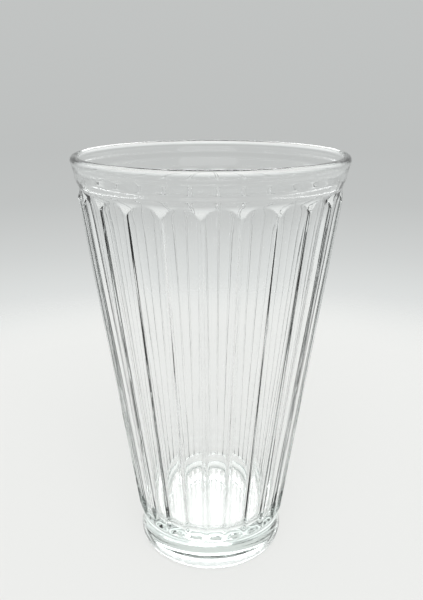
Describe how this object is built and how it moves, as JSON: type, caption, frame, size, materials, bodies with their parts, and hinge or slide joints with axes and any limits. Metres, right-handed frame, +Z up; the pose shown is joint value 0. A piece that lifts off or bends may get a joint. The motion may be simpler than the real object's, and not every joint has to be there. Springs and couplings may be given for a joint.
{
  "type": "mixing glass",
  "caption": "Tall tapered tumbler of clear pressed glass with upright concave flutes between narrow raised ridges, a plain waisted band, a beaded rim and a thick foot, for stirring or shaking drinks.",
  "frame": {"origin": "centre of the foot, on the surface that the glass stands on", "axes": "+Z up along the axis of the glass towards its mouth; a ridge between two flutes faces -Y"},
  "size_m": [0.088, 0.088, 0.141],
  "materials": {
    "clear_glass": "clear pressed soda-lime glass, fire-polished, with a faint green tint where it is thick"
  },
  "bodies": {
    "root": {"glass_body": "clear_glass"}
  },
  "joints": []
}
